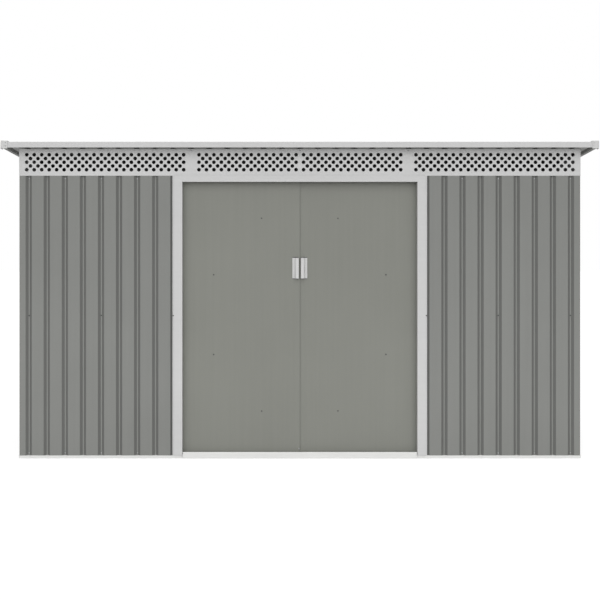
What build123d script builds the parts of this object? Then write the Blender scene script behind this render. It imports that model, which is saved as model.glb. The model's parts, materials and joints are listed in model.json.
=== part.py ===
from build123d import *
import os
from math import atan, ceil, cos, degrees, floor, hypot, atan2

# A pent-roof metal storage shed with ribbed sheet walls and two sliding doors.
# Millimetres, +Z up. The front looks along -Y, +X is to the right of the front.
# The origin is on the ground, under the middle of the roof.

# Body and roof
BODY_LENGTH = 3220.0      # left wall face to right wall face
BODY_DEPTH = 1180.0       # front wall face to back wall face
SIDE_OVERHANG = 87.0      # roof trim beyond each side wall
EAVE_OVERHANG = 60.0      # fascia beyond the front and back walls
FRONT_HEIGHT = 1812.0     # ground to the top of the front fascia
ROOF_FALL_SHARE = 0.075   # fall of the roof from front to back, for each unit of depth

# Sheet metal
PANEL_SHEET = 1.0         # ribbed sheets and door skins
TRIM_SHEET = 1.5          # rails, strips and trims

# Ribs of the wall sheets, which are grooves seen from outside
RIB_PITCH = 103.8
GROOVE_MOUTH = 36.0
GROOVE_BED = 7.5
GROOVE_DEPTH = 11.0

# Base rails
RAIL_PROUD = 3.0          # lip beyond the wall face
RAIL_LIP = 17.0           # height of the lip that shows
RAIL_UPSTAND = 16.5       # upstand behind the wall sheets, above the lip
RAIL_MARGIN = 13.5        # flange behind the guide lip
ANCHOR_RADIUS = 5.0
ANCHOR_INSET = 35.0       # hole axis behind the wall face
ANCHOR_FROM_END = 160.0   # hole axis from the end of the rail

# Strips over the walls
VENT_HEIGHT = 154.0       # height of the vent strip over the front
STRIP_LAP = 17.0          # wall sheet that runs up behind a strip

# Posts and rails behind the walls
POST_LEG = 30.0
TOP_RAIL_HEIGHT = 17.0
TOP_RAIL_DEPTH = 15.0
MID_RAIL_HEIGHT = 40.0
MID_RAIL_GAP = 2.0        # middle rail before the back edge of the door frame

# Vent holes
VENT_SEAM = 622.8         # middle of the front to the seam of a long and a short strip
HOLE_RADIUS = 10.8
HOLE_PITCH = 42.9         # columns; the staggered rows are half of it apart
HOLE_MARGIN = 21.45       # middle of the front to the first column
HOLE_END_MARGIN = 40.0    # least distance from a column to the end of its strip
FIRST_ROW_RISE = 34.7     # lower edge of the strip to the first row
TOP_ROW_MARGIN = 30.0     # least distance from a row to the top of the strip

# Door frame
OPENING_WIDTH = 1350.0
LINTEL_HEIGHT = 35.0
FRAME_PROUD = 8.0         # face of the frame beyond the wall face
FRAME_BACK = 28.0         # back edge of the frame behind the wall face
JAMB_FACE = 47.5          # raised face of a jamb
JAMB_FLANGE = 8.5         # flange that lies on the wall beside it
THRESHOLD_HEIGHT = 38.0
THRESHOLD_END_GAP = 4.0
THRESHOLD_BEVEL = 3.0

# Doors
DOOR_LAP = 15.0           # door behind the jamb, and one door behind the other
DOOR_BOTTOM = 27.0
DOOR_HEAD_LAP = 18.0      # door behind the lintel
DOOR_DEPTH = 20.0         # skin and folded edges
EDGE_RELIEF = 2.0         # gap between two folded edges at a corner
DOOR_CLEARANCE = 5.0      # front door to the frame, and to the door behind it
BRACE_WIDTH = 30.0
BRACE_DEPTH = 12.0
BRACE_SIDE_INSET = 40.0   # end of a brace from the outer edge of the door
BRACE_MEETING_INSET = 62.0
BRACE_TOP_INSET = 40.0
BRACE_MIDDLE_RISE = 58.0  # end of a brace from the middle of the door's height

# Door handles
HANDLE_HEIGHT = 118.4
HANDLE_CENTRE = 1091.4
HANDLE_WIDTH = 37.5
HANDLE_GAP = 5.4          # meeting line to the handle
HANDLE_PLATE = 3.0
HANDLE_GRIP_WIDTH = 19.5
HANDLE_PROUD = 25.0
HANDLE_BEVEL = 3.0

# Door track, hangers and guide shoes
TRACK_HEIGHT = 55.0       # head of the doorway to the top of the lip that carries the doors
TRACK_LIP_RISE = 17.0
TRACK_SETBACK = 5.0       # back of the lip behind the face of the rear door
HANGER_GAP = 0.3          # hanger over the lip
HANGER_SIDE_GAP = 3.0
HANGER_THICKNESS = 3.0
HANGER_CROWN = 5.0
HANGER_HOOK = 9.0         # front leg below the top of the lip
SLIDER_LENGTH = 40.0
SLIDER_INSET = 90.0       # slider centre from the door's edge
GUIDE_SETBACK = 7.5       # back of the guide lip behind the face of the rear door
GUIDE_GAP = 2.0           # guide lip under the roof of a shoe
SHOE_SIDE_GAP = 2.0
SHOE_LEG = 3.0
SHOE_ROOF = 5.0
SHOE_FLOOR_GAP = 6.5      # shoe above the flange of the base rail

# Roof
FASCIA_HEIGHT = 32.0
FASCIA_FLANGE = 25.0      # over the roof sheets
FASCIA_LIP = 4.0          # under the roof sheets
ROOF_RIB_WIDTH = 34.0
ROOF_RIB_CREST = 12.0
ROOF_RIB_HEIGHT = 16.0
SHEET_RIBS = 8            # rib pitches from one roof sheet's edge to the next
CAP_LEG = 40.0
CAP_THICKNESS = 3.0
CAP_OVERLAP = 6.5         # cap above and below the fascia
CAP_BEVEL = 4.0
BEAM_HEIGHT = 40.0
BEAM_WIDTH = 30.0

# Worked out from the sizes above
FRONT_FACE = -BODY_DEPTH / 2
SIDE_FACE = BODY_LENGTH / 2
GROOVE_BACK = GROOVE_DEPTH + PANEL_SHEET          # back of a groove behind the wall face
UPSTAND_TOP = RAIL_LIP + RAIL_UPSTAND
MID_RAIL_DEPTH = FRAME_BACK - GROOVE_BACK - MID_RAIL_GAP
HALF_OPENING = OPENING_WIDTH / 2
FRAME_FACE = FRONT_FACE - FRAME_PROUD
LEFT_DOOR_FACE = FRONT_FACE + FRAME_BACK + DOOR_CLEARANCE
RIGHT_DOOR_FACE = LEFT_DOOR_FACE + DOOR_CLEARANCE + PANEL_SHEET
TRACK_LIP = RIGHT_DOOR_FACE + TRACK_SETBACK       # back of the track's lip
GUIDE_LIP = RIGHT_DOOR_FACE + GUIDE_SETBACK       # back of the guide lip
SHOE_SLOT_TOP = DOOR_BOTTOM - SHOE_ROOF
GUIDE_LIP_TOP = SHOE_SLOT_TOP - GUIDE_GAP
RAIL_WIDTH = RAIL_PROUD + GUIDE_LIP - FRONT_FACE + RAIL_MARGIN
HALF_ROOF_LENGTH = SIDE_FACE + SIDE_OVERHANG
HALF_ROOF_DEPTH = BODY_DEPTH / 2 + EAVE_OVERHANG
ROOF_CENTRE = FRONT_HEIGHT - FASCIA_HEIGHT / 2 - HALF_ROOF_DEPTH * ROOF_FALL_SHARE
PAN = TRIM_SHEET - FASCIA_HEIGHT / 2              # underside of the roof sheet in the roof's own frame
ROOF_ANGLE = atan(ROOF_FALL_SHARE)


def roof_underside(y):
    """Height of the roof sheet's underside over a place in the depth."""
    return ROOF_CENTRE - y * ROOF_FALL_SHARE + PAN / cos(ROOF_ANGLE)


# Heights that hang from the roof
STRIP_BOTTOM = roof_underside(FRONT_FACE) - VENT_HEIGHT
WALL_TOP = STRIP_BOTTOM + STRIP_LAP
MID_RAIL_CENTRE = (RAIL_LIP + STRIP_BOTTOM) / 2
OPENING_TOP = STRIP_BOTTOM - LINTEL_HEIGHT
DOOR_TOP = OPENING_TOP + DOOR_HEAD_LAP
TRACK_TOP = OPENING_TOP + TRACK_HEIGHT


def pulled(outline, axis, start, end, holes=()):
    """Solid of an outline drawn across an axis and pulled along it from start to end."""
    def place(first, second):
        spots = {"X": (start, first, second), "Y": (first, start, second), "Z": (first, second, start)}
        return spots[axis]

    direction = {"X": Vector(1, 0, 0), "Y": Vector(0, 1, 0), "Z": Vector(0, 0, 1)}[axis]
    border = Wire.make_polygon([place(*point) for point in outline], close=True)
    bores = []
    for first, second, radius in holes:
        ring_plane = Plane(origin=place(first, second), z_dir=direction)
        bores.append(Wire([Edge.make_circle(radius, ring_plane)]))
    return Solid.extrude(Face(border, bores), direction * (end - start))


def block(x_span, y_span, z_span):
    """Rectangular solid between two corners."""
    (x0, x1), (y0, y1), (z0, z1) = x_span, y_span, z_span
    return pulled([(x0, y0), (x1, y0), (x1, y1), (x0, y1)], "Z", z0, z1)


def mirrored(solid):
    """The same solid on the other side of the middle of the front."""
    return solid.mirror(Plane.YZ)


def turned(solid, side):
    """A solid made for the front, turned about the upright axis to another side."""
    return solid.rotate(Axis.Z, {"front": 0, "right": 90, "back": 180, "left": -90}[side])


def ribbed_sheet(start, end, mouth, bed, depth):
    """Outline (along, rise) of a sheet with a rib at every whole pitch from the middle."""
    def rise(along):
        offset = abs(along - round(along / RIB_PITCH) * RIB_PITCH)
        return depth * min(max((mouth - 2 * offset) / (mouth - bed), 0), 1)

    bends = []
    for count in range(floor(start / RIB_PITCH), ceil(end / RIB_PITCH) + 1):
        for step in (-mouth, -bed, bed, mouth):
            bends.append(count * RIB_PITCH + step / 2)
    places = [start] + [bend for bend in bends if start < bend < end] + [end]
    lower = [(along, rise(along)) for along in places]
    upper = [(along, height + PANEL_SHEET) for along, height in reversed(lower)]
    return lower + upper


# Walls

def wall_panel(distance, start, end):
    """Ribbed sheet of the wall whose face stands at a distance in front of the middle."""
    outline = ribbed_sheet(start, end, GROOVE_MOUTH, GROOVE_BED, GROOVE_DEPTH)
    return pulled([(x, y - distance) for x, y in outline], "Z", RAIL_LIP, WALL_TOP)


def base_rail(length, distance, with_guide):
    """Rail under one wall: flange, lip, ledge and upstand, mitred at both ends."""
    face = -distance
    lip = face - RAIL_PROUD
    inner = lip + RAIL_WIDTH
    upstand = face + GROOVE_BACK
    guide = face + GUIDE_LIP - FRONT_FACE
    guide_lip = [(guide, TRIM_SHEET), (guide, GUIDE_LIP_TOP),
                 (guide - TRIM_SHEET, GUIDE_LIP_TOP), (guide - TRIM_SHEET, TRIM_SHEET)]
    outline = [(lip, 0), (inner, 0), (inner, TRIM_SHEET)] + (guide_lip if with_guide else [])
    outline += [(lip + TRIM_SHEET, TRIM_SHEET), (lip + TRIM_SHEET, RAIL_LIP - TRIM_SHEET),
                (upstand + TRIM_SHEET, RAIL_LIP - TRIM_SHEET), (upstand + TRIM_SHEET, UPSTAND_TOP),
                (upstand, UPSTAND_TOP), (upstand, RAIL_LIP), (lip, RAIL_LIP)]
    outer_half = length / 2 + RAIL_PROUD
    inner_half = outer_half - RAIL_WIDTH
    rail = pulled(outline, "X", -outer_half, outer_half)
    mitre = [(-outer_half, lip), (outer_half, lip), (inner_half, inner), (-inner_half, inner)]
    return rail & pulled(mitre, "Z", 0, UPSTAND_TOP)


def anchored(rail, side):
    """Front or back rail with an anchor hole near each end of its flange."""
    y = FRONT_FACE + ANCHOR_INSET
    for x in (ANCHOR_FROM_END - SIDE_FACE, SIDE_FACE - ANCHOR_FROM_END):
        rail -= Location((x, y, TRIM_SHEET / 2)) * Cylinder(ANCHOR_RADIUS, TRIM_SHEET)
    return turned(rail, side)


def corner_post(x_side, y_side):
    """Angle in one corner, on the ledge of the base rails and up to the roof."""
    x = SIDE_FACE - PANEL_SHEET
    y = BODY_DEPTH / 2 - PANEL_SHEET
    outline = [(x, y), (x - POST_LEG, y), (x - POST_LEG, y - TRIM_SHEET), (x - TRIM_SHEET, y - TRIM_SHEET),
               (x - TRIM_SHEET, y - POST_LEG), (x, y - POST_LEG)]
    top = roof_underside(max(y_side * y, y_side * (y - POST_LEG)))
    return pulled([(x_side * a, y_side * b) for a, b in outline], "Z", RAIL_LIP, top)


def eave_rail(y_side, half_length):
    """Angle along the top of the front or back wall, bent to the roof's fall."""
    face = y_side * BODY_DEPTH / 2
    web = face - y_side * TRIM_SHEET
    edge = face - y_side * TOP_RAIL_DEPTH
    bottom = roof_underside(face) - TOP_RAIL_HEIGHT
    outline = [(face, bottom), (web, bottom), (web, roof_underside(web) - TRIM_SHEET),
               (edge, roof_underside(edge) - TRIM_SHEET), (edge, roof_underside(edge)),
               (face, roof_underside(face))]
    return pulled(outline, "X", -half_length, half_length)


def gable_rail():
    """Angle under the roof along the right gable."""
    half = BODY_DEPTH / 2 - PANEL_SHEET - POST_LEG

    def band(height, x0, x1):
        outline = [(-half, roof_underside(-half) - height), (half, roof_underside(half) - height),
                   (half, roof_underside(half)), (-half, roof_underside(-half))]
        return pulled(outline, "X", x0, x1)

    web = band(TOP_RAIL_HEIGHT, SIDE_FACE - TRIM_SHEET, SIDE_FACE)
    return web + band(TRIM_SHEET, SIDE_FACE - TOP_RAIL_DEPTH, SIDE_FACE - TRIM_SHEET)


def mid_rail(distance, start, end):
    """Channel behind the grooves of one wall at screw height."""
    web = GROOVE_BACK - distance
    edge = web + MID_RAIL_DEPTH
    low = MID_RAIL_CENTRE - MID_RAIL_HEIGHT / 2
    high = MID_RAIL_CENTRE + MID_RAIL_HEIGHT / 2
    outline = [(web, low), (edge, low), (edge, low + TRIM_SHEET), (web + TRIM_SHEET, low + TRIM_SHEET),
               (web + TRIM_SHEET, high - TRIM_SHEET), (edge, high - TRIM_SHEET), (edge, high), (web, high)]
    return pulled(outline, "X", start, end)


# Strips over the walls

def fitting(length, pitch):
    """How many places a pitch apart fit on a length, with one at each end of it."""
    return floor(length / pitch) + 1


def vent_panel(start, end, first_column, columns):
    """Strip over the front with staggered rows of round holes."""
    holes = []
    for row in range(fitting(VENT_HEIGHT - FIRST_ROW_RISE - TOP_ROW_MARGIN, HOLE_PITCH / 2)):
        shift = (row % 2) * HOLE_PITCH / 2
        z = STRIP_BOTTOM + FIRST_ROW_RISE + row * HOLE_PITCH / 2
        for column in range(columns - row % 2):
            holes.append((first_column + shift + column * HOLE_PITCH, z, HOLE_RADIUS))
    top = roof_underside(FRONT_FACE)
    outline = [(start, STRIP_BOTTOM), (end, STRIP_BOTTOM), (end, top), (start, top)]
    return pulled(outline, "Y", FRONT_FACE - TRIM_SHEET, FRONT_FACE, holes)


def gable_strip():
    """Plain strip over the right wall, tapered with the roof."""
    back = -FRONT_FACE
    outline = [(FRONT_FACE, STRIP_BOTTOM), (back, STRIP_BOTTOM),
               (back, roof_underside(back)), (FRONT_FACE, roof_underside(FRONT_FACE))]
    return pulled(outline, "X", SIDE_FACE, SIDE_FACE + TRIM_SHEET)


# Door frame

def door_jamb():
    """Right jamb: raised face, flange on the wall and a return into the doorway."""
    edge = HALF_OPENING + JAMB_FACE
    back_of_face = FRAME_FACE + TRIM_SHEET
    flange = FRONT_FACE - TRIM_SHEET
    outline = [(HALF_OPENING, FRAME_FACE), (edge, FRAME_FACE), (edge, flange), (edge + JAMB_FLANGE, flange),
               (edge + JAMB_FLANGE, FRONT_FACE), (edge - TRIM_SHEET, FRONT_FACE),
               (edge - TRIM_SHEET, back_of_face), (HALF_OPENING, back_of_face)]
    face = pulled(outline, "Z", RAIL_LIP, STRIP_BOTTOM)
    inner_return = block((HALF_OPENING, HALF_OPENING + TRIM_SHEET),
                         (back_of_face, FRONT_FACE + FRAME_BACK), (UPSTAND_TOP, OPENING_TOP))
    return face + inner_return


def door_lintel():
    """Channel over the doorway, between the jambs and up to the track."""
    back = FRONT_FACE + GROOVE_BACK
    back_of_face = FRAME_FACE + TRIM_SHEET
    outline = [(FRAME_FACE, OPENING_TOP), (back, OPENING_TOP), (back, OPENING_TOP + TRIM_SHEET),
               (back_of_face, OPENING_TOP + TRIM_SHEET), (back_of_face, STRIP_BOTTOM - TRIM_SHEET),
               (back, STRIP_BOTTOM - TRIM_SHEET), (back, STRIP_BOTTOM), (FRAME_FACE, STRIP_BOTTOM)]
    return pulled(outline, "X", -HALF_OPENING, HALF_OPENING)


def door_threshold():
    """Lip before the doors, bevelled along its top, with a shelf that rests on the base rail."""
    back_of_face = FRAME_FACE + TRIM_SHEET
    upstand = FRONT_FACE + GROOVE_BACK
    shelf_top = RAIL_LIP + TRIM_SHEET
    bevel_back = FRAME_FACE + THRESHOLD_BEVEL
    bevel_low = THRESHOLD_HEIGHT - THRESHOLD_BEVEL
    outline = [(FRAME_FACE, 0), (FRAME_FACE, bevel_low), (bevel_back, THRESHOLD_HEIGHT),
               (bevel_back, THRESHOLD_HEIGHT - TRIM_SHEET), (back_of_face, bevel_low), (back_of_face, shelf_top),
               (upstand, shelf_top), (upstand, RAIL_LIP), (back_of_face, RAIL_LIP), (back_of_face, 0)]
    half = HALF_OPENING - THRESHOLD_END_GAP
    return pulled(outline, "X", -half, half)


def door_track():
    """Rail behind the walls over the doorway, with the lip that carries the doors."""
    front = FRONT_FACE + GROOVE_BACK
    lip_front = TRACK_LIP - TRIM_SHEET
    ledge = TRACK_TOP - TRACK_LIP_RISE
    outline = [(front, OPENING_TOP), (front + TRIM_SHEET, OPENING_TOP), (front + TRIM_SHEET, ledge),
               (TRACK_LIP, ledge), (TRACK_LIP, TRACK_TOP), (lip_front, TRACK_TOP),
               (lip_front, ledge + TRIM_SHEET), (front + TRIM_SHEET, ledge + TRIM_SHEET),
               (front + TRIM_SHEET, TRACK_TOP), (front, TRACK_TOP)]
    half = SIDE_FACE - GROOVE_BACK
    return pulled(outline, "X", -half, half)


# Doors, each made as the left one and mirrored for the right one

def door_panel(face, meeting_edge):
    """Left door skin, from behind the jamb to its meeting edge."""
    return block((-HALF_OPENING - DOOR_LAP, meeting_edge), (face, face + PANEL_SHEET), (DOOR_BOTTOM, DOOR_TOP))


def door_edges(face, fold):
    """Four folded edges behind the left door's skin; fold is the place of the one by the meeting edge."""
    outer = -HALF_OPENING - DOOR_LAP
    depth = (face + PANEL_SHEET, face + DOOR_DEPTH)
    width = (outer + PANEL_SHEET + EDGE_RELIEF, fold - PANEL_SHEET - EDGE_RELIEF)
    edges = [block((x, x + PANEL_SHEET), depth, (DOOR_BOTTOM, DOOR_TOP)) for x in (outer, fold - PANEL_SHEET)]
    for z in (DOOR_BOTTOM, DOOR_TOP - PANEL_SHEET):
        edges.append(block(width, depth, (z, z + PANEL_SHEET)))
    return edges


def door_braces(face):
    """Two channels behind the left door, from mid height to the corners at the meeting edge."""
    middle = (DOOR_BOTTOM + DOOR_TOP) / 2
    side = -HALF_OPENING - DOOR_LAP + BRACE_SIDE_INSET
    meeting = -BRACE_MEETING_INSET
    rise = DOOR_TOP - BRACE_TOP_INSET - middle - BRACE_MIDDLE_RISE
    length = hypot(meeting - side, rise)
    web = face + PANEL_SHEET
    low, high = -BRACE_WIDTH / 2, BRACE_WIDTH / 2
    back = web + BRACE_DEPTH
    outline = [(web, low), (back, low), (back, low + TRIM_SHEET), (web + TRIM_SHEET, low + TRIM_SHEET),
               (web + TRIM_SHEET, high - TRIM_SHEET), (back, high - TRIM_SHEET), (back, high), (web, high)]
    bar = pulled(outline, "X", 0, length).rotate(Axis.Y, -degrees(atan2(rise, meeting - side)))
    upper = bar.moved(Location((side, 0, BRACE_MIDDLE_RISE)))
    lower = upper.mirror(Plane.XY)
    return [brace.moved(Location((0, 0, middle))) for brace in (upper, lower)]


def door_handle(face):
    """Left pull: a plate with a raised grip along the meeting edge."""
    inner = -HANDLE_GAP
    outer = inner - HANDLE_WIDTH
    grip = inner - HANDLE_GRIP_WIDTH
    plate = face - HANDLE_PLATE
    crown = face - HANDLE_PROUD
    outline = [(outer, face), (outer, plate), (grip - HANDLE_BEVEL, plate), (grip, crown + HANDLE_BEVEL),
               (grip + HANDLE_BEVEL, crown), (inner - HANDLE_BEVEL, crown), (inner, crown + HANDLE_BEVEL),
               (inner, face)]
    return pulled(outline, "Z", HANDLE_CENTRE - HANDLE_HEIGHT / 2, HANDLE_CENTRE + HANDLE_HEIGHT / 2)


def door_sliders():
    """Two hangers over the track's lip and two shoes over the guide lip, on the left door."""
    front_leg = TRACK_LIP - TRIM_SHEET - HANGER_SIDE_GAP
    back_leg = TRACK_LIP + HANGER_SIDE_GAP
    seat = TRACK_TOP + HANGER_GAP
    crown = seat + HANGER_CROWN
    hanger = [(back_leg, DOOR_TOP), (back_leg + HANGER_THICKNESS, DOOR_TOP),
              (back_leg + HANGER_THICKNESS, crown), (front_leg - HANGER_THICKNESS, crown),
              (front_leg - HANGER_THICKNESS, TRACK_TOP - HANGER_HOOK), (front_leg, TRACK_TOP - HANGER_HOOK),
              (front_leg, seat), (back_leg, seat)]
    slot_back = GUIDE_LIP + SHOE_SIDE_GAP
    slot_front = GUIDE_LIP - TRIM_SHEET - SHOE_SIDE_GAP
    shoe_bottom = TRIM_SHEET + SHOE_FLOOR_GAP
    shoe = [(slot_front - SHOE_LEG, shoe_bottom), (slot_front, shoe_bottom), (slot_front, SHOE_SLOT_TOP),
            (slot_back, SHOE_SLOT_TOP), (slot_back, shoe_bottom), (slot_back + SHOE_LEG, shoe_bottom),
            (slot_back + SHOE_LEG, DOOR_BOTTOM), (slot_front - SHOE_LEG, DOOR_BOTTOM)]
    sliders = []
    for centre in (-HALF_OPENING - DOOR_LAP + SLIDER_INSET, -SLIDER_INSET):
        for outline in (hanger, shoe):
            sliders.append(pulled(outline, "X", centre - SLIDER_LENGTH / 2, centre + SLIDER_LENGTH / 2))
    return sliders


# Roof, made level about its own centre and then tilted

def pitched(solid):
    """Roof piece in its place, tilted with the front edge high."""
    return solid.rotate(Axis.X, -degrees(ROOF_ANGLE)).moved(Location((0, 0, ROOF_CENTRE)))


def roof_sheet(start, end):
    """Ribbed sheet from the front fascia to the back one."""
    outline = ribbed_sheet(start, end, ROOF_RIB_WIDTH, ROOF_RIB_CREST, ROOF_RIB_HEIGHT)
    half = HALF_ROOF_DEPTH - TRIM_SHEET
    return pitched(pulled([(x, z + PAN) for x, z in outline], "Y", -half, half))


def trim_outline(distance):
    """Channel section (across, height) whose web stands at a distance before the middle."""
    web = -distance
    lip, flange = web + FASCIA_LIP, web + FASCIA_FLANGE
    low, high = -FASCIA_HEIGHT / 2, FASCIA_HEIGHT / 2
    return [(web, low), (lip, low), (lip, low + TRIM_SHEET), (web + TRIM_SHEET, low + TRIM_SHEET),
            (web + TRIM_SHEET, high - TRIM_SHEET), (flange, high - TRIM_SHEET), (flange, high), (web, high)]


def roof_fascia(side):
    """Channel along the front or back edge of the roof."""
    channel = pulled(trim_outline(HALF_ROOF_DEPTH), "X", -HALF_ROOF_LENGTH, HALF_ROOF_LENGTH)
    return pitched(turned(channel, side))


def roof_trim(side):
    """Channel along the left or right edge of the roof, between the fascias."""
    half = HALF_ROOF_DEPTH - FASCIA_FLANGE
    return pitched(turned(pulled(trim_outline(HALF_ROOF_LENGTH), "X", -half, half), side))


def corner_cap(x_side, y_side):
    """Plastic cap over one corner of the roof trim, open towards the roof and underneath."""
    x = HALF_ROOF_LENGTH + CAP_THICKNESS
    y = HALF_ROOF_DEPTH + CAP_THICKNESS
    half_height = FASCIA_HEIGHT / 2 + CAP_OVERLAP
    outline = [(x - CAP_LEG, y - CAP_LEG), (x, y - CAP_LEG), (x, y - CAP_BEVEL), (x - CAP_BEVEL, y),
               (x - CAP_LEG, y)]
    cap = pulled(outline, "Z", -half_height, half_height)
    cap -= block((x - CAP_LEG, HALF_ROOF_LENGTH), (y - CAP_LEG, HALF_ROOF_DEPTH),
                 (-half_height, FASCIA_HEIGHT / 2))
    if x_side < 0:
        cap = cap.mirror(Plane.YZ)
    if y_side < 0:
        cap = cap.mirror(Plane.XZ)
    return pitched(cap)


def roof_beam():
    """Channel under the middle of the roof, from gable to gable."""
    low, high = PAN - BEAM_HEIGHT, PAN
    front, back = -BEAM_WIDTH / 2, BEAM_WIDTH / 2
    outline = [(front, low), (back, low), (back, low + TRIM_SHEET), (front + TRIM_SHEET, low + TRIM_SHEET),
               (front + TRIM_SHEET, high - TRIM_SHEET), (back, high - TRIM_SHEET), (back, high), (front, high)]
    half = SIDE_FACE - TOP_RAIL_DEPTH
    return pitched(pulled(outline, "X", -half, half))


# The nodes, each a list of solids

nodes = {}

front_rail = base_rail(BODY_LENGTH, BODY_DEPTH / 2, True)
back_rail = base_rail(BODY_LENGTH, BODY_DEPTH / 2, False)
side_rail = base_rail(BODY_DEPTH, BODY_LENGTH / 2, False)
nodes["base_rail_front"] = [anchored(front_rail, "front")]
nodes["base_rail_back"] = [anchored(back_rail, "back")]
nodes["base_rail_left"] = [turned(side_rail, "left")]
nodes["base_rail_right"] = [turned(side_rail, "right")]

front_panel = wall_panel(BODY_DEPTH / 2, HALF_OPENING + TRIM_SHEET, SIDE_FACE)
back_panel = wall_panel(BODY_DEPTH / 2, 0, SIDE_FACE)
side_half = BODY_DEPTH / 2 - PANEL_SHEET
side_panel = wall_panel(SIDE_FACE, -side_half, side_half)
nodes["front_wall_right"] = [front_panel]
nodes["front_wall_left"] = [mirrored(front_panel)]
nodes["left_wall"] = [turned(side_panel, "left")]
nodes["right_wall"] = [turned(side_panel, "right")]
nodes["back_wall_left"] = [turned(back_panel, "back")]
nodes["back_wall_right"] = [turned(mirrored(back_panel), "back")]

corners = [(x_side, y_side) for x_side in (-1, 1) for y_side in (-1, 1)]
nodes["corner_posts"] = [corner_post(*corner) for corner in corners]

eave_half = SIDE_FACE - PANEL_SHEET - POST_LEG
gable = gable_rail()
nodes["wall_top_rails"] = [eave_rail(-1, eave_half), eave_rail(1, eave_half), gable, mirrored(gable)]

mid_inner = SIDE_FACE - GROOVE_BACK
side_mid_half = BODY_DEPTH / 2 - GROOVE_BACK - MID_RAIL_DEPTH
front_mid_rail = mid_rail(BODY_DEPTH / 2, HALF_OPENING + TRIM_SHEET, mid_inner)
side_mid_rail = mid_rail(SIDE_FACE, -side_mid_half, side_mid_half)
back_mid_rail = mid_rail(BODY_DEPTH / 2, -mid_inner, mid_inner)
nodes["wall_mid_rails"] = [front_mid_rail, mirrored(front_mid_rail), turned(back_mid_rail, "back"),
                           turned(side_mid_rail, "left"), turned(side_mid_rail, "right")]

strip_end = SIDE_FACE + TRIM_SHEET
short_columns = fitting(VENT_SEAM - HOLE_MARGIN - HOLE_END_MARGIN, HOLE_PITCH)
short_vent = vent_panel(0, VENT_SEAM, HOLE_MARGIN, short_columns)
long_columns = fitting(strip_end - VENT_SEAM - 2 * HOLE_END_MARGIN, HOLE_PITCH)
long_first_column = (VENT_SEAM + strip_end - (long_columns - 1) * HOLE_PITCH) / 2
long_vent = vent_panel(VENT_SEAM, strip_end, long_first_column, long_columns)
nodes["vent_panel_1"] = [mirrored(long_vent)]
nodes["vent_panel_2"] = [mirrored(short_vent)]
nodes["vent_panel_3"] = [short_vent]
nodes["vent_panel_4"] = [long_vent]

right_gable_strip = gable_strip()
back_face = BODY_DEPTH / 2
nodes["right_gable_strip"] = [right_gable_strip]
nodes["left_gable_strip"] = [mirrored(right_gable_strip)]
nodes["back_top_strip"] = [block((-strip_end, strip_end), (back_face, back_face + TRIM_SHEET),
                                 (STRIP_BOTTOM, roof_underside(back_face + TRIM_SHEET)))]

right_jamb = door_jamb()
nodes["door_jamb_right"] = [right_jamb]
nodes["door_jamb_left"] = [mirrored(right_jamb)]
nodes["door_lintel"] = [door_lintel()]
nodes["door_threshold"] = [door_threshold()]
nodes["door_track"] = [door_track()]

left_fold = -DOOR_LAP - DOOR_CLEARANCE
sliders = door_sliders()
nodes["left_door_panel"] = [door_panel(LEFT_DOOR_FACE, 0)]
nodes["left_door_edges"] = door_edges(LEFT_DOOR_FACE, left_fold)
nodes["left_door_braces"] = door_braces(LEFT_DOOR_FACE)
nodes["left_door_handle"] = [door_handle(LEFT_DOOR_FACE)]
nodes["left_door_sliders"] = sliders
nodes["right_door_panel"] = [mirrored(door_panel(RIGHT_DOOR_FACE, DOOR_LAP))]
nodes["right_door_edges"] = [mirrored(edge) for edge in door_edges(RIGHT_DOOR_FACE, DOOR_LAP)]
nodes["right_door_braces"] = [mirrored(brace) for brace in door_braces(RIGHT_DOOR_FACE)]
nodes["right_door_handle"] = [mirrored(door_handle(RIGHT_DOOR_FACE))]
nodes["right_door_sliders"] = [mirrored(slider) for slider in sliders]

sheet_edge = SHEET_RIBS * RIB_PITCH
sheet_end = HALF_ROOF_LENGTH - TRIM_SHEET
sheet_spans = [(-sheet_end, -sheet_edge), (-sheet_edge, 0), (0, sheet_edge), (sheet_edge, sheet_end)]
for number, span in enumerate(sheet_spans, start=1):
    nodes[f"roof_sheet_{number}"] = [roof_sheet(*span)]
nodes["roof_fascia_front"] = [roof_fascia("front")]
nodes["roof_fascia_back"] = [roof_fascia("back")]
nodes["roof_trim_left"] = [roof_trim("left")]
nodes["roof_trim_right"] = [roof_trim("right")]
nodes["roof_corner_caps"] = [corner_cap(*corner) for corner in corners]
nodes["roof_beam"] = [roof_beam()]

os.makedirs("parts", exist_ok=True)
for name, solids in nodes.items():
    pieces = [piece for solid in solids for piece in solid.solids()]
    export_step(Compound(pieces), f"parts/{name}.step")
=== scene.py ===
import bpy
import json
from math import atan, cos, pi, radians, sin
from mathutils import Matrix, Vector


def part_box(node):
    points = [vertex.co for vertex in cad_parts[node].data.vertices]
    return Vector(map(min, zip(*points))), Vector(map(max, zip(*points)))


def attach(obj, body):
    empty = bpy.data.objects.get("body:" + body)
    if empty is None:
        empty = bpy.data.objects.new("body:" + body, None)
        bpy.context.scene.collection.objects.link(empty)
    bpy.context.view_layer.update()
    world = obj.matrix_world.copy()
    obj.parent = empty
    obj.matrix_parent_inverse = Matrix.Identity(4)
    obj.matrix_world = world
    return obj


# Looks of the metal storage shed: paints, galvanised steel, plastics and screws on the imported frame.
# Metres, in the frame of the solids. The front looks along -Y, +X is to the right of the front.

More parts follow.
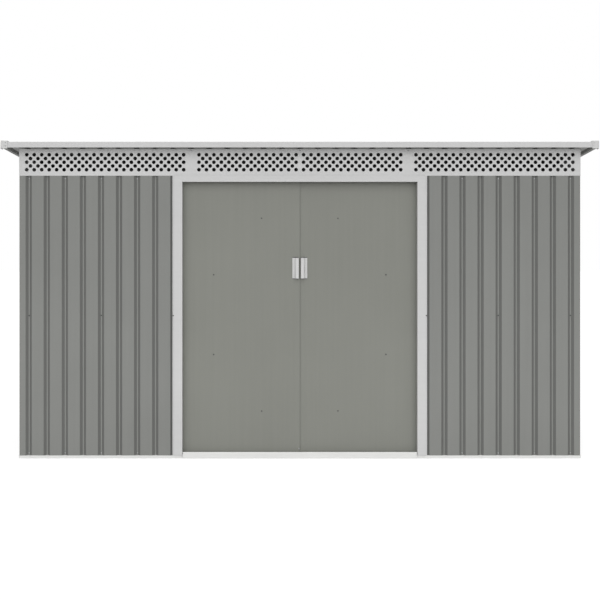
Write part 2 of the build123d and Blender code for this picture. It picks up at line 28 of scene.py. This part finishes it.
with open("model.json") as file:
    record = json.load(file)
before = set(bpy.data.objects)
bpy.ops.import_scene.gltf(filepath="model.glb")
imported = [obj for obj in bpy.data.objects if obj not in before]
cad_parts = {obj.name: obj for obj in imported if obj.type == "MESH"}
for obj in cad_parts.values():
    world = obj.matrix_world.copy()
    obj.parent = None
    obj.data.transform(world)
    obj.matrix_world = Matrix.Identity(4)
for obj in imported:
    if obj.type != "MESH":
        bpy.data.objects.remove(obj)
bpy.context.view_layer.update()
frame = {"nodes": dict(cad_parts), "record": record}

# Sizes of the solids that the screws follow
PANEL_SHEET = 0.001
RIB_PITCH = 0.1038
ROOF_FALL_SHARE = 0.075
ROOF_CREST = 0.0025            # top of a roof rib above the middle of the fascia
HALF_ROOF_DEPTH = 0.650
CAP_THICKNESS = 0.003

# Ribs that carry screws, first and last, counted from the middle, and the steps between them
FRONT_RIBS = (9, 15)
FRONT_MIDDLE_RIBS = (11, 15)
LONG_RIBS = (1, 15)
SIDE_RIBS = (1, 5)
RIB_STEP = 2
FRONT_MIDDLE_STEP = 4

# Screw places
FOOT_SCREW = 0.029             # height of the screws into the base rails
MIDDLE_SCREW = 0.820           # into the middle rails
HEAD_SCREW = 1.607             # into the door track
STRIP_SCREW = 1.6315           # through the strips over the side and back walls
SEAM_SCREW = 1.7655            # through the vent strips into the top rail
VENT_SEAM = 0.6228             # middle of the front to the seam of a long and a short strip
JAMB_SCREW = 0.7267            # middle of the front to the flange of a jamb
# Door screws, from the middle of the front and from the ground
DOOR_SCREWS = ((0.2205, 1.3794), (0.4979, 1.0534), (0.4979, 0.5922), (0.2205, 0.2656))
STOP_SCREW = (0.0040, 0.048)   # at the foot of the meeting edge, from the middle and from the ground
CAP_SCREW_INSET = 0.026        # from the end of the roof to the screws of a corner cap
CAP_SCREW_RISES = (-0.006, 0.011)  # above the middle of the cap
EAVE_SCREW_INSET = 0.066       # roof screws behind the face of a corner cap

# Screw heads
PAN_RADIUS = 0.0040
PAN_HEIGHT = 0.0024
PAN_SIDES = 16
PAN_RING_SHARES = ((1.0, 0.35), (0.88, 0.75), (0.66, 1.0))
PAN_STAR_SHARES = (0.55, 0.31, 0.17, 0.31)
PAN_RECESS_SHARE = 0.55
HEX_SIDES = 24
WASHER_RADIUS = 0.008
WASHER_HEIGHT = 0.0016
HEX_HALF_WIDTH = 0.004
HEX_HEIGHT = 0.0062
HEX_CHAMFER = 0.0007
HEAD_SINK = 0.0002             # head pressed into the sheet
HEAD_TURN = 2.399963           # turn from one head to the next
SHARP_ANGLE = radians(35)

# Dark plates behind the handles, which show above and below them as painted shade lines
SHADE_PLATE_ABOVE = 0.0050
SHADE_PLATE_BELOW = 0.0035
SHADE_PLATE_THICKNESS = 0.0012
SHADE_PLATE_CORNER = 0.003
SHADE_PLATE_CHAMFER = 0.0004
CORNER_STEPS = 4

# Small rounded edges on moulded pieces
EDGE_ROUND = 0.0009
EDGE_STEPS = 2
WELD_DISTANCE = 0.000009

# Camera: level, in front of the doors
CAMERA_PLACE = (0.001, -5.758, 1.254)
CAMERA_TILT = radians(90)
CAMERA_LENS = 54.0
CAMERA_SHIFT = -0.1

# World and floor
WORLD_LIGHT = 0.60
FLOOR_SIZE = 60.0
FLOOR_COLOUR = (0.50, 0.50, 0.50, 1.0)
FLOOR_SHOWN_COLOUR = (0.35, 0.35, 0.35, 1.0)
FLOOR_GLOW = 0.78
WHITE = (1.0, 1.0, 1.0, 1.0)

# Far softboxes, each with its bearing from the front, its height, its spread and its strength
SOFTBOXES = (
    ("front_softbox", radians(0), radians(20), radians(80), 1.7),
    ("back_softbox", radians(180), radians(35), radians(80), 0.4),
)

# Flat lamps, each with its place, its tilt, its length, its width and its power. A low strip before the
# doors lights from below, and a weak one inside keeps the vent holes from going black.
FLAT_LAMPS = (
    ("low_strip", (0.0, -2.0, 0.35), radians(90), 6.0, 0.5, 8.5),
    ("indoor_fill", (0.0, 0.0, 0.06), radians(180), 3.0, 1.0, 1.6),
)

# Colours, linear
WALL_GREY = (0.222, 0.226, 0.215)
DOOR_GREY = (0.223, 0.227, 0.204)
PALE_TRIM = (0.577, 0.577, 0.575)
PALE_BASE = (0.725, 0.725, 0.713)
ZINC = (0.520, 0.530, 0.540)
# Painted shade: zinc darkened for the beam, so that the vent holes look dark inside
SHADE_DARK_ZINC = (0.120, 0.122, 0.124)
HANDLE_PALE = (0.600, 0.600, 0.595)
CAP_PALE = (0.590, 0.590, 0.585)
NYLON_BLACK = (0.045, 0.045, 0.047)
# Painted shade: grey of the plates that show as dark lines above and below the handles
SHADE_PLATE_GREY = (0.110, 0.110, 0.110)
SCREW_GREY = (0.085, 0.086, 0.085)

# Patterns of the surfaces: bumps to a metre with the steps of finer detail, and heights of relief
DRIFT_NOISE = (1.6, 2)
STREAK_NOISE = (60.0, 3)
SPECK_NOISE = (420.0, 3)
GLOSS_NOISE = (9.0, 4)
WAVE_NOISE = (5.0, 1)
WAVE_HEIGHT = 0.0006
PEEL_NOISE = (650.0, 2)
PEEL_HEIGHT = 0.00003
STAIN_NOISE = (7.0, 4)
BRUSH_NOISE = (380.0, 3)
BRUSH_HEIGHT = 0.00004
MOULD_NOISE = (40.0, 3)
MOULD_GLOSS_NOISE = (300.0, 2)
GRAIN_NOISE = (1500.0, 2)
GRAIN_HEIGHT = 0.00006
SPANGLE_SCALE = 110.0
EVEN = (1, 1, 1)
UPRIGHT = (1, 1, 0.02)
ALONG_X = (0.02, 1, 1)
ALONG_Y = (1, 0.02, 1)

# Shares of tone, and the spans of the values that they are spread over
DRIFT_SHARES = (0.975, 1.025)
STREAK_SHARES = (0.985, 1.015)
SPANGLE_SHARES = (0.82, 1.08)
STAIN_SHARES = (0.92, 1.05)
MOULD_SHARES = (0.975, 1.02)
FLANK_SHADE_SHARES = (1.0, 0.66)     # painted shade: full tone on the flats, darker on the flanks of the ribs
NOISE_SPAN = (0.3, 0.7)
CELL_SPAN = (0.1, 0.9)
FLANK_SPAN = (0.0, 0.5)
UNIT_SPAN = (0.0, 1.0)

# Shine of the surfaces
SHEET_ROUGHNESS = 0.55
SHEET_METALLIC = 0.05
TRIM_ROUGHNESS = 0.50
PAINT_SPECULAR = 0.25
PAINT_GLOSS_SWING = 0.03
SCREW_ROUGHNESS = 0.45
SCREW_METALLIC = 0.3
ZINC_ROUGHNESS = (0.34, 0.52)
ZINC_METALLIC = 0.9
ZINC_SPECULAR = 0.5
HANDLE_ROUGHNESS = 0.42
CAP_ROUGHNESS = 0.50
NYLON_ROUGHNESS = 0.50
SHADE_PLATE_ROUGHNESS = 0.60
MOULD_SPECULAR = 0.25
MOULD_GLOSS_SWING = 0.05


# Material nodes

def points_of(tree, stretch):
    """Places on the piece, in metres of its own frame, stretched along each axis."""
    coords = tree.nodes.new("ShaderNodeTexCoord")
    mapping = tree.nodes.new("ShaderNodeMapping")
    mapping.inputs["Scale"].default_value = stretch
    tree.links.new(coords.outputs["Object"], mapping.inputs["Vector"])
    return mapping.outputs["Vector"]


def noise_of(tree, pattern, stretch=EVEN):
    """Soft random pattern, so many bumps to a metre with so many steps of finer detail."""
    scale, detail = pattern
    noise = tree.nodes.new("ShaderNodeTexNoise")
    noise.inputs["Scale"].default_value = scale
    noise.inputs["Detail"].default_value = detail
    tree.links.new(points_of(tree, stretch), noise.inputs["Vector"])
    return noise.outputs["Fac"]


def cells_of(tree, scale):
    """Random grey for each crystal, so many crystals to a metre."""
    cells = tree.nodes.new("ShaderNodeTexVoronoi")
    cells.inputs["Scale"].default_value = scale
    tree.links.new(points_of(tree, EVEN), cells.inputs["Vector"])
    grey = tree.nodes.new("ShaderNodeRGBToBW")
    tree.links.new(cells.outputs["Color"], grey.inputs["Color"])
    return grey.outputs["Val"]


def reckoned(tree, operation, *values):
    """Values put through one step of arithmetic."""
    node = tree.nodes.new("ShaderNodeMath")
    node.operation = operation
    for number, value in enumerate(values):
        tree.links.new(value, node.inputs[number])
    return node.outputs["Value"]


def ranged(tree, value, levels, span=NOISE_SPAN):
    """A value that runs over a span, spread from one level to another."""
    node = tree.nodes.new("ShaderNodeMapRange")
    names = ("From Min", "From Max", "To Min", "To Max")
    for name, number in zip(names, (*span, *levels)):
        node.inputs[name].default_value = number
    tree.links.new(value, node.inputs["Value"])
    return node.outputs["Result"]


def shaded(tree, colour, factor):
    """A colour times a pattern near one."""
    node = tree.nodes.new("ShaderNodeMix")
    node.data_type = "RGBA"
    node.blend_type = "MULTIPLY"
    node.inputs["Factor"].default_value = 1.0
    sockets = {socket.identifier: socket for socket in node.inputs}
    sockets["A_Color"].default_value = (*colour, 1.0)
    tree.links.new(factor, sockets["B_Color"])
    return {socket.identifier: socket for socket in node.outputs}["Result_Color"]


def bumped(tree, height, depth, below=None):
    """Normal of a surface whose pattern stands so many metres high."""
    node = tree.nodes.new("ShaderNodeBump")
    node.inputs["Strength"].default_value = 1.0
    node.inputs["Distance"].default_value = depth
    tree.links.new(height, node.inputs["Height"])
    if below is not None:
        tree.links.new(below, node.inputs["Normal"])
    return node.outputs["Normal"]


def flanks(tree):
    """Half on faces that look half sideways, as the flanks of the wall ribs do, and nought on flats."""
    geometry = tree.nodes.new("ShaderNodeNewGeometry")
    parts = tree.nodes.new("ShaderNodeSeparateXYZ")
    tree.links.new(geometry.outputs["True Normal"], parts.inputs["Vector"])
    return reckoned(tree, "ABSOLUTE", reckoned(tree, "MULTIPLY", parts.outputs["X"], parts.outputs["Y"]))


def new_material(name, metallic, specular):
    """Material with its metallic share and its level of reflection set, ready for patterns."""
    material = bpy.data.materials.new(name)
    material.use_nodes = True
    shader = material.node_tree.nodes["Principled BSDF"]
    shader.inputs["Metallic"].default_value = metallic
    shader.inputs["Specular IOR Level"].default_value = specular
    return material, material.node_tree, shader


def painted(name, colour, roughness, metallic, stretch=EVEN, shade_on_flanks=False):
    """Coil-coated sheet with drift, roll streaks, specks and orange peel, and perhaps painted shade that
    darkens the rib flanks.
    """
    material, tree, shader = new_material(name, metallic, PAINT_SPECULAR)
    tone = ranged(tree, noise_of(tree, DRIFT_NOISE), DRIFT_SHARES)
    for pattern, way in ((STREAK_NOISE, stretch), (SPECK_NOISE, EVEN)):
        marks = ranged(tree, noise_of(tree, pattern, way), STREAK_SHARES)
        tone = reckoned(tree, "MULTIPLY", tone, marks)
    # Painted shade: faces that look sideways, as the rib flanks do, are darkened to stand in for the shade
    # that light leaves on them.
    if shade_on_flanks:
        flank_shade_factor = ranged(tree, flanks(tree), FLANK_SHADE_SHARES, FLANK_SPAN)
        tone = reckoned(tree, "MULTIPLY", tone, flank_shade_factor)
    tree.links.new(shaded(tree, colour, tone), shader.inputs["Base Color"])
    levels = (roughness - PAINT_GLOSS_SWING, roughness + PAINT_GLOSS_SWING)
    tree.links.new(ranged(tree, noise_of(tree, GLOSS_NOISE), levels), shader.inputs["Roughness"])
    waves = bumped(tree, noise_of(tree, WAVE_NOISE), WAVE_HEIGHT)
    peel = bumped(tree, noise_of(tree, PEEL_NOISE), PEEL_HEIGHT, waves)
    tree.links.new(peel, shader.inputs["Normal"])
    return material


def galvanised(name, colour):
    """Zinc-coated steel with spangle and light brushing."""
    material, tree, shader = new_material(name, ZINC_METALLIC, ZINC_SPECULAR)
    spangle = ranged(tree, cells_of(tree, SPANGLE_SCALE), SPANGLE_SHARES, CELL_SPAN)
    stain = ranged(tree, noise_of(tree, STAIN_NOISE), STAIN_SHARES)
    tone = reckoned(tree, "MULTIPLY", spangle, stain)
    tree.links.new(shaded(tree, colour, tone), shader.inputs["Base Color"])
    gloss = ranged(tree, cells_of(tree, SPANGLE_SCALE), ZINC_ROUGHNESS, CELL_SPAN)
    tree.links.new(gloss, shader.inputs["Roughness"])
    tree.links.new(bumped(tree, noise_of(tree, BRUSH_NOISE), BRUSH_HEIGHT), shader.inputs["Normal"])
    return material


def moulded(name, colour, roughness):
    """Moulded plastic with a fine spark-eroded grain."""
    material, tree, shader = new_material(name, 0.0, MOULD_SPECULAR)
    tone = ranged(tree, noise_of(tree, MOULD_NOISE), MOULD_SHARES)
    tree.links.new(shaded(tree, colour, tone), shader.inputs["Base Color"])
    levels = (roughness - MOULD_GLOSS_SWING, roughness + MOULD_GLOSS_SWING)
    tree.links.new(ranged(tree, noise_of(tree, MOULD_GLOSS_NOISE), levels), shader.inputs["Roughness"])
    tree.links.new(bumped(tree, noise_of(tree, GRAIN_NOISE), GRAIN_HEIGHT), shader.inputs["Normal"])
    return material


looks = {
    # The wall paint carries painted shade on the flanks of its ribs.
    "wall_paint": painted("wall_paint", WALL_GREY, SHEET_ROUGHNESS, SHEET_METALLIC, UPRIGHT, shade_on_flanks=True),
    "door_paint": painted("door_paint", DOOR_GREY, SHEET_ROUGHNESS, SHEET_METALLIC, UPRIGHT),
    "roof_paint": painted("roof_paint", WALL_GREY, SHEET_ROUGHNESS, SHEET_METALLIC, ALONG_Y),
    "trim_paint": painted("trim_paint", PALE_TRIM, TRIM_ROUGHNESS, 0.0, ALONG_X),
    "base_paint": painted("base_paint", PALE_BASE, TRIM_ROUGHNESS, 0.0, ALONG_X),
    "galvanised": galvanised("galvanised", ZINC),
    "handle_plastic": moulded("handle_plastic", HANDLE_PALE, HANDLE_ROUGHNESS),
    "cap_plastic": moulded("cap_plastic", CAP_PALE, CAP_ROUGHNESS),
    "slider_plastic": moulded("slider_plastic", NYLON_BLACK, NYLON_ROUGHNESS),
}
shade_darkened_zinc = galvanised("shade_darkened_zinc", SHADE_DARK_ZINC)
zinc_screw = galvanised("zinc_screw", ZINC)
paint_screw = painted("paint_screw", SCREW_GREY, SCREW_ROUGHNESS, SCREW_METALLIC)
shade_plate_rubber = moulded("shade_plate_rubber", SHADE_PLATE_GREY, SHADE_PLATE_ROUGHNESS)

for subpart in frame["record"]["subparts"]:
    node = frame["nodes"][subpart["node"]]
    node.data.materials.clear()
    node.data.materials.append(looks[subpart["material_slot"]])

# The beam shows through the lower vent holes; its zinc is darkened as painted shade, so that it looks as dark
# as the roof does through the upper ones
frame["nodes"]["roof_beam"].data.materials[0] = shade_darkened_zinc

# Rounded edges on the moulded pieces
for name in ("left_door_handle", "right_door_handle", "roof_corner_caps"):
    node = frame["nodes"][name]
    weld = node.modifiers.new("weld", "WELD")
    weld.merge_threshold = WELD_DISTANCE
    bevel = node.modifiers.new("rounded", "BEVEL")
    bevel.width = EDGE_ROUND
    bevel.segments = EDGE_STEPS
    bevel.limit_method = "ANGLE"
    bevel.angle_limit = SHARP_ANGLE
    bevel.harden_normals = True


# Small pieces, made with the outward side along +Z

def ring(sides, height, radius_at):
    """Points round the axis; radius_at gives the radius for a point's number and angle."""
    angles = [2 * pi * number / sides for number in range(sides)]
    points = []
    for number, angle in enumerate(angles):
        radius = radius_at(number, angle)
        points.append(Vector((radius * cos(angle), radius * sin(angle), height)))
    return points


def joined_rings(rings):
    """Closed mesh through rings of as many points each."""
    sides = len(rings[0])
    points = [point for circle in rings for point in circle]
    faces = [tuple(reversed(range(sides)))]
    for level in range(len(rings) - 1):
        for number in range(sides):
            after = (number + 1) % sides
            low, high = level * sides, (level + 1) * sides
            faces.append((low + number, low + after, high + after, high + number))
    last = (len(rings) - 1) * sides
    faces.append(tuple(range(last, last + sides)))
    return points, faces


def pan_head():
    """Low domed head with a cross recess."""
    def star(number, angle):
        return PAN_RADIUS * PAN_STAR_SHARES[number % len(PAN_STAR_SHARES)]

    rings = [ring(PAN_SIDES, -HEAD_SINK, lambda number, angle: PAN_RADIUS)]
    for radius_share, height_share in PAN_RING_SHARES:
        radius = PAN_RADIUS * radius_share
        rings.append(ring(PAN_SIDES, PAN_HEIGHT * height_share, lambda number, angle: radius))
    rings.append(ring(PAN_SIDES, PAN_HEIGHT, star))
    rings.append(ring(PAN_SIDES, PAN_HEIGHT - PAN_HEIGHT * PAN_RECESS_SHARE, star))
    return joined_rings(rings)


def hex_head():
    """Hexagon head on a wide washer."""
    sixth = pi / 3

    def hexagon(number, angle):
        return HEX_HALF_WIDTH / cos((angle + sixth / 2) % sixth - sixth / 2)

    top = HEX_HALF_WIDTH - HEX_CHAMFER
    rings = [
        ring(HEX_SIDES, -HEAD_SINK, lambda number, angle: WASHER_RADIUS),
        ring(HEX_SIDES, WASHER_HEIGHT / 2, lambda number, angle: WASHER_RADIUS),
        ring(HEX_SIDES, WASHER_HEIGHT, lambda number, angle: WASHER_RADIUS - WASHER_HEIGHT / 2),
        ring(HEX_SIDES, WASHER_HEIGHT, hexagon),
        ring(HEX_SIDES, HEX_HEIGHT - HEX_CHAMFER, hexagon),
        ring(HEX_SIDES, HEX_HEIGHT, lambda number, angle: top),
    ]
    return joined_rings(rings)


def shade_plate(width, height):
    """Thin plate with round corners and a chamfered rim."""
    across, along = width / 2 - SHADE_PLATE_CORNER, height / 2 - SHADE_PLATE_CORNER

    def rim(level, inset):
        radius = SHADE_PLATE_CORNER - inset
        points = []
        for quarter, (x_side, y_side) in enumerate(((1, 1), (-1, 1), (-1, -1), (1, -1))):
            middle = Vector((x_side * across, y_side * along, level))
            for step in range(CORNER_STEPS + 1):
                angle = (quarter + step / CORNER_STEPS) * pi / 2
                points.append(middle + Vector((radius * cos(angle), radius * sin(angle), 0)))
        return points

    return joined_rings([rim(-HEAD_SINK, 0), rim(SHADE_PLATE_THICKNESS - SHADE_PLATE_CHAMFER, 0),
                         rim(SHADE_PLATE_THICKNESS, SHADE_PLATE_CHAMFER)])


def add_pieces(name, shape, spots, material, body):
    """One mesh of like pieces, each at a place, looking outward and turned on from the one before."""
    shape_points, shape_faces = shape
    points, faces = [], []
    for number, (place, outward) in enumerate(spots):
        turn = Matrix.Rotation(number * HEAD_TURN, 3, "Z")
        aim = Vector(outward).to_track_quat("Z", "Y").to_matrix() @ turn
        first = len(points)
        points += [Vector(place) + aim @ point for point in shape_points]
        faces += [tuple(first + corner for corner in face) for face in shape_faces]
    mesh = bpy.data.meshes.new(name)
    mesh.from_pydata(points, [], faces)
    mesh.materials.append(material)
    mesh.shade_smooth()
    mesh.set_sharp_from_angle(angle=SHARP_ANGLE)
    piece = bpy.data.objects.new(name, mesh)
    bpy.context.scene.collection.objects.link(piece)
    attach(piece, body)


def pitches(ribs, step=RIB_STEP):
    """Places of ribs, a step of ribs apart from the first to the last, on both sides of the middle."""
    first, last = ribs
    return [side * number * RIB_PITCH for side in (-1, 1) for number in range(first, last + 1, step)]


FRONT, BACK = (0, -1, 0), (0, 1, 0)
LEFT, RIGHT = (-1, 0, 0), (1, 0, 0)
UP = (0, 0, 1)
front_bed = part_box("front_wall_right")[1].y - PANEL_SHEET
back_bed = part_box("back_wall_left")[0].y + PANEL_SHEET
side_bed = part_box("right_wall")[0].x + PANEL_SHEET
vent_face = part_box("vent_panel_4")[0].y

# Screws in the grooves of the four walls, painted ones into the middle rails and through the jambs,
# whose flanges lie level with the vent strips
wall_spots, middle_spots = [], []
for x in pitches(FRONT_RIBS):
    wall_spots += [((x, front_bed, z), FRONT) for z in (FOOT_SCREW, HEAD_SCREW)]
for x in pitches(FRONT_MIDDLE_RIBS, FRONT_MIDDLE_STEP):
    middle_spots.append(((x, front_bed, MIDDLE_SCREW), FRONT))
for x in pitches(LONG_RIBS):
    wall_spots.append(((x, back_bed, FOOT_SCREW), BACK))
    middle_spots.append(((x, back_bed, MIDDLE_SCREW), BACK))
for y in pitches(SIDE_RIBS):
    for spots, z in ((wall_spots, FOOT_SCREW), (middle_spots, MIDDLE_SCREW)):
        spots += [((side_bed, y, z), RIGHT), ((-side_bed, y, z), LEFT)]
middle_spots += [((x, vent_face, MIDDLE_SCREW), FRONT) for x in (-JAMB_SCREW, JAMB_SCREW)]
add_pieces("wall_screws", pan_head(), wall_spots, zinc_screw, "shed")
add_pieces("middle_screws", pan_head(), middle_spots, paint_screw, "shed")

# Screws through the strips
strip_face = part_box("right_gable_strip")[1].x
back_strip_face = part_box("back_top_strip")[1].y
trim_spots = [((x, vent_face, SEAM_SCREW), FRONT) for x in (-VENT_SEAM, 0, VENT_SEAM)]
for x in pitches(LONG_RIBS):
    trim_spots.append(((x - RIB_PITCH / 2, back_strip_face, STRIP_SCREW), BACK))
for y in pitches(SIDE_RIBS):
    trim_spots += [((strip_face, y + RIB_PITCH / 2, STRIP_SCREW), RIGHT),
                   ((-strip_face, y + RIB_PITCH / 2, STRIP_SCREW), LEFT)]
add_pieces("trim_screws", pan_head(), trim_spots, zinc_screw, "shed")

# Roof frame: level about its own centre, then tilted
cap_low, cap_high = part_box("roof_corner_caps")
roof_centre = (cap_low.z + cap_high.z) / 2
roof = Matrix.Translation((0, 0, roof_centre)) @ Matrix.Rotation(-atan(ROOF_FALL_SHARE), 4, "X")
cap_face = HALF_ROOF_DEPTH + CAP_THICKNESS
cap_end = cap_high.x


def on_roof(x, y, z, outward):
    """A place and a direction in the roof's own frame, brought to where the roof is."""
    return roof @ Vector((x, y, z)), roof.to_3x3() @ Vector(outward)


# Screws of the corner caps, as pale as the caps
cap_spots = []
for x_side in (-1, 1):
    x = x_side * (cap_end - CAP_THICKNESS - CAP_SCREW_INSET)
    for rise in CAP_SCREW_RISES:
        for y_side in (-1, 1):
            y = y_side * (cap_face - CAP_SCREW_INSET)
            cap_spots.append(on_roof(x, y_side * cap_face, rise, (0, y_side, 0)))
            cap_spots.append(on_roof(x_side * cap_end, y, rise, (x_side, 0, 0)))
add_pieces("cap_screws", pan_head(), cap_spots, looks["cap_plastic"], "shed")

# Roof screws on the crests, over the walls and the beam
eave = cap_face - EAVE_SCREW_INSET
roof_spots = [on_roof(x, y, ROOF_CREST, UP) for x in pitches(LONG_RIBS) for y in (-eave, 0, eave)]
add_pieces("roof_screws", hex_head(), roof_spots, zinc_screw, "shed")

# Screws of the door braces, and the dark plates behind the handles, whose dark colour paints shade lines
# above and below them
for side, name in ((-1, "left"), (1, "right")):
    door = f"{name}_door"
    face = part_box(f"{door}_panel")[0].y
    spots = [((side * x, face, z), FRONT) for x, z in DOOR_SCREWS]
    add_pieces(f"{door}_screws", pan_head(), spots, paint_screw, door)
    handle_low, handle_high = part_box(f"{door}_handle")
    foot, head = handle_low.z - SHADE_PLATE_BELOW, handle_high.z + SHADE_PLATE_ABOVE
    shape = shade_plate(handle_high.x - handle_low.x, head - foot)
    spot = ((handle_low.x + handle_high.x) / 2, face, (foot + head) / 2)
    # A dark plate behind the handle paints the shade lines above and below it
    add_pieces(f"{door}_gasket", shape, [(spot, FRONT)], shade_plate_rubber, door)

# Screw of the stop at the foot of the meeting edge
left_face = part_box("left_door_panel")[0].y
stop_spot = (-STOP_SCREW[0], left_face, STOP_SCREW[1])
add_pieces("left_door_stop_screw", pan_head(), [(stop_spot, FRONT)], zinc_screw, "left_door")


# Stage: floor, world, lamps and camera

def seen_directly(tree):
    """One for rays that show the background: straight, mirrored or through glass."""
    path = tree.nodes.new("ShaderNodeLightPath")
    mirrored = reckoned(tree, "MAXIMUM", path.outputs["Is Camera Ray"], path.outputs["Is Glossy Ray"])
    return reckoned(tree, "MAXIMUM", mirrored, path.outputs["Is Transmission Ray"])


def pale_floor(name):
    """Material of a plain pale floor, its tree and its shader."""
    material = bpy.data.materials.new(name)
    material.use_nodes = True
    tree = material.node_tree
    tree.nodes.remove(tree.nodes["Principled BSDF"])
    pale = tree.nodes.new("ShaderNodeBsdfDiffuse")
    pale.inputs["Color"].default_value = FLOOR_COLOUR
    tree.links.new(pale.outputs["BSDF"], tree.nodes["Material Output"].inputs["Surface"])
    return material, tree, pale


def open_floor():
    """Pale floor that shows white and keeps a soft shadow."""
    material, tree, pale = pale_floor("open_floor")
    shown = tree.nodes.new("ShaderNodeBsdfDiffuse")
    shown.inputs["Color"].default_value = FLOOR_SHOWN_COLOUR
    glow = tree.nodes.new("ShaderNodeEmission")
    glow.inputs["Color"].default_value = WHITE
    glow.inputs["Strength"].default_value = FLOOR_GLOW
    both = tree.nodes.new("ShaderNodeAddShader")
    tree.links.new(shown.outputs["BSDF"], both.inputs[0])
    tree.links.new(glow.outputs["Emission"], both.inputs[1])
    mix = tree.nodes.new("ShaderNodeMixShader")
    tree.links.new(seen_directly(tree), mix.inputs[0])
    tree.links.new(pale.outputs["BSDF"], mix.inputs[1])
    tree.links.new(both.outputs["Shader"], mix.inputs[2])
    tree.links.new(mix.outputs["Shader"], tree.nodes["Material Output"].inputs["Surface"])
    return material


def square(x, y):
    """Corners of a rectangle on the ground about the middle."""
    return [(-x, -y, 0), (x, -y, 0), (x, y, 0), (-x, y, 0)]


# The floor inside the walls is a face of its own, which shows no white
wall_end, wall_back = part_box("right_wall")[1].x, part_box("back_wall_left")[1].y
outer, inner = square(FLOOR_SIZE / 2, FLOOR_SIZE / 2), square(wall_end, wall_back)
sides = len(outer)
surround = [(side, (side + 1) % sides, sides + (side + 1) % sides, sides + side) for side in range(sides)]
indoors = tuple(range(sides, sides + len(inner)))
floor_mesh = bpy.data.meshes.new("floor")
floor_mesh.from_pydata(outer + inner, [], surround + [indoors])
floor_mesh.materials.append(open_floor())
floor_mesh.materials.append(pale_floor("indoor_floor")[0])
floor_mesh.polygons[-1].material_index = 1
floor = bpy.data.objects.new("floor", floor_mesh)
bpy.context.scene.collection.objects.link(floor)

world = bpy.data.worlds.new("studio")
world.use_nodes = True
bpy.context.scene.world = world
backdrop = world.node_tree.nodes["Background"]
backdrop.inputs["Color"].default_value = WHITE
brightness = ranged(world.node_tree, seen_directly(world.node_tree), (WORLD_LIGHT, 1.0), UNIT_SPAN)
world.node_tree.links.new(brightness, backdrop.inputs["Strength"])

for name, bearing, height, spread, strength in SOFTBOXES:
    data = bpy.data.lights.new(name, "SUN")
    data.angle = spread
    data.energy = strength
    lamp = bpy.data.objects.new(name, data)
    towards = Vector((sin(bearing) * cos(height), -cos(bearing) * cos(height), sin(height)))
    lamp.rotation_mode = "QUATERNION"
    lamp.rotation_quaternion = towards.to_track_quat("Z", "Y")
    lamp.visible_glossy = False
    bpy.context.scene.collection.objects.link(lamp)

for name, place, tilt, length, width, power in FLAT_LAMPS:
    data = bpy.data.lights.new(name, "AREA")
    data.shape = "RECTANGLE"
    data.size = length
    data.size_y = width
    data.energy = power
    lamp = bpy.data.objects.new(name, data)
    lamp.location = place
    lamp.rotation_euler = (tilt, 0, 0)
    lamp.visible_camera = False
    lamp.visible_glossy = False
    bpy.context.scene.collection.objects.link(lamp)

camera_data = bpy.data.cameras.new("camera")
camera_data.lens = CAMERA_LENS
camera_data.shift_y = CAMERA_SHIFT
camera = bpy.data.objects.new("camera", camera_data)
camera.location = CAMERA_PLACE
camera.rotation_euler = (CAMERA_TILT, 0, 0)
bpy.context.scene.collection.objects.link(camera)
bpy.context.scene.camera = camera
bpy.context.scene.view_settings.view_transform = "Standard"
